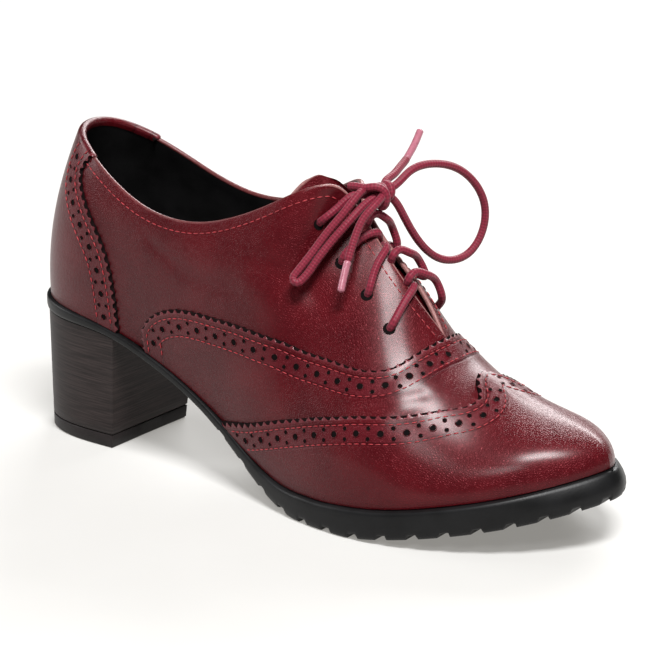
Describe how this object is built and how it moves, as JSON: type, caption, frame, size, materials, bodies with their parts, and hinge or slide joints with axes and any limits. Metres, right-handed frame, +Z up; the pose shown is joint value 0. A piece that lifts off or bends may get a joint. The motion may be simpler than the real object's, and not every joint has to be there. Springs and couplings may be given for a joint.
{
  "type": "oxford shoe",
  "caption": "Heeled lace-up oxford shoe for a right foot: hollow leather upper with wing toe cap, vamp and counter, tongue, laces tied in a bow, lugged sole and block heel.",
  "frame": {"origin": "centre of the footprint box on the floor, under the shoe without its bow", "axes": "+X from heel to toe, +Y towards the medial (big toe) side, +Z up"},
  "size_m": [0.2375, 0.0877, 0.1215],
  "materials": {
    "sole_rubber": "satin",
    "heel_stack": "satin lacquer over stacked layers",
    "top_piece_rubber": "matte",
    "insole_leather": "matte",
    "burgundy_leather": "glossy, lightly grained",
    "lace_cord": "waxed round cord",
    "aglet_plastic": "pale glossy sleeve"
  },
  "bodies": {
    "root": {"outsole": "sole_rubber", "heel": "heel_stack", "heel_top_piece": "top_piece_rubber", "insole": "insole_leather", "upper": "burgundy_leather", "vamp": "burgundy_leather", "toe_cap": "burgundy_leather", "heel_counter": "burgundy_leather", "tongue": "burgundy_leather", "lace_crossing_1": "lace_cord", "lace_crossing_2": "lace_cord", "lace_crossing_3": "lace_cord", "lace_crossing_4": "lace_cord", "lace_knot": "lace_cord", "lace_loop_lateral": "lace_cord", "lace_loop_medial": "lace_cord", "lace_end_lateral": "lace_cord", "lace_end_medial": "lace_cord", "aglet_lateral": "aglet_plastic", "aglet_medial": "aglet_plastic"}
  },
  "joints": []
}
